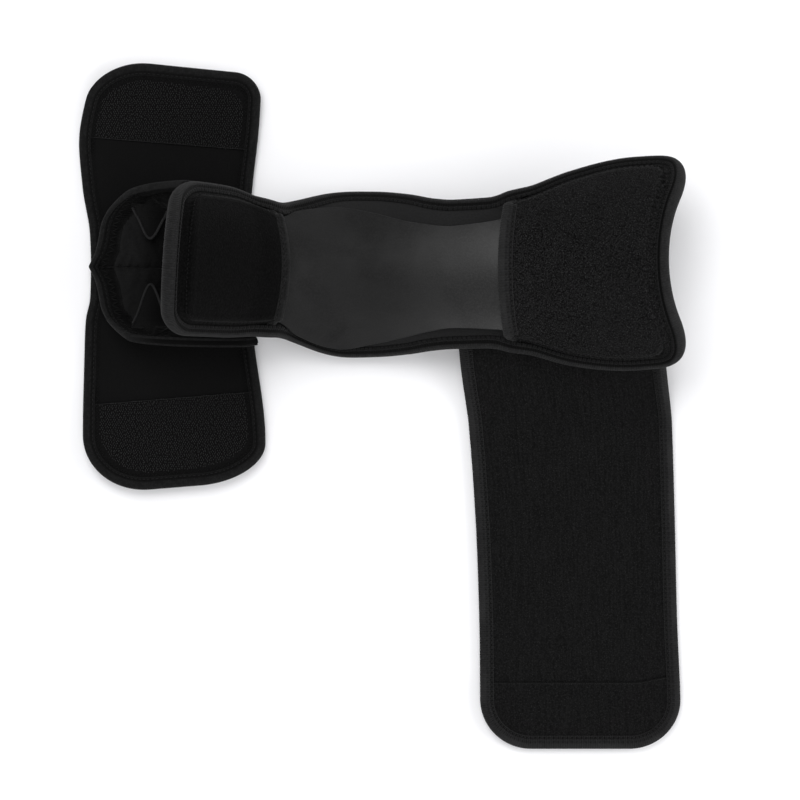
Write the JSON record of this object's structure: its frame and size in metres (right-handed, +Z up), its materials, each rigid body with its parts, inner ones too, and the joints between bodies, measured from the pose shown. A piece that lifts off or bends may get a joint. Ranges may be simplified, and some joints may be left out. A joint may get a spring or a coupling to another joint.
{
  "type": "plantar fasciitis night splint",
  "caption": "Soft black night splint with a bent shell in toe and calf pockets, a sole sling, a foot wrap with hook ends and a wide calf strap, lying open.",
  "frame": {"origin": "middle of the box in plan, on the table it lies on", "axes": "+X from toe to calf along the splint, +Y away from the calf strap's free end, +Z up from the table"},
  "size_m": [0.3778, 0.4304, 0.1164],
  "materials": {
    "shell_plastic": "satin moulded plastic",
    "liner_foam": "brushed cloth over foam",
    "loop_cloth": "brushed loop pile",
    "edge_tape": "ribbed stretch tape",
    "hook_tape": "rows of small hooks",
    "lining_cloth": "smooth knit over foam",
    "wrap_foam": "smooth knit over foam"
  },
  "bodies": {
    "root": {"shell": "shell_plastic", "liner": "liner_foam", "liner_binding": "edge_tape", "toe_pocket": "loop_cloth", "toe_pocket_tape": "edge_tape", "calf_pocket": "loop_cloth", "calf_pocket_tape": "edge_tape", "sling_upper": "lining_cloth", "sling_upper_binding": "edge_tape", "sling_lower": "lining_cloth", "sling_lower_binding": "edge_tape", "lining_tab_upper": "lining_cloth", "lining_tab_lower": "lining_cloth", "foot_wrap": "wrap_foam", "foot_wrap_binding": "edge_tape", "hook_patch_upper": "hook_tape", "hook_patch_lower": "hook_tape", "calf_strap": "loop_cloth", "strap_binding": "edge_tape", "strap_end_panel": "loop_cloth"}
  },
  "joints": []
}
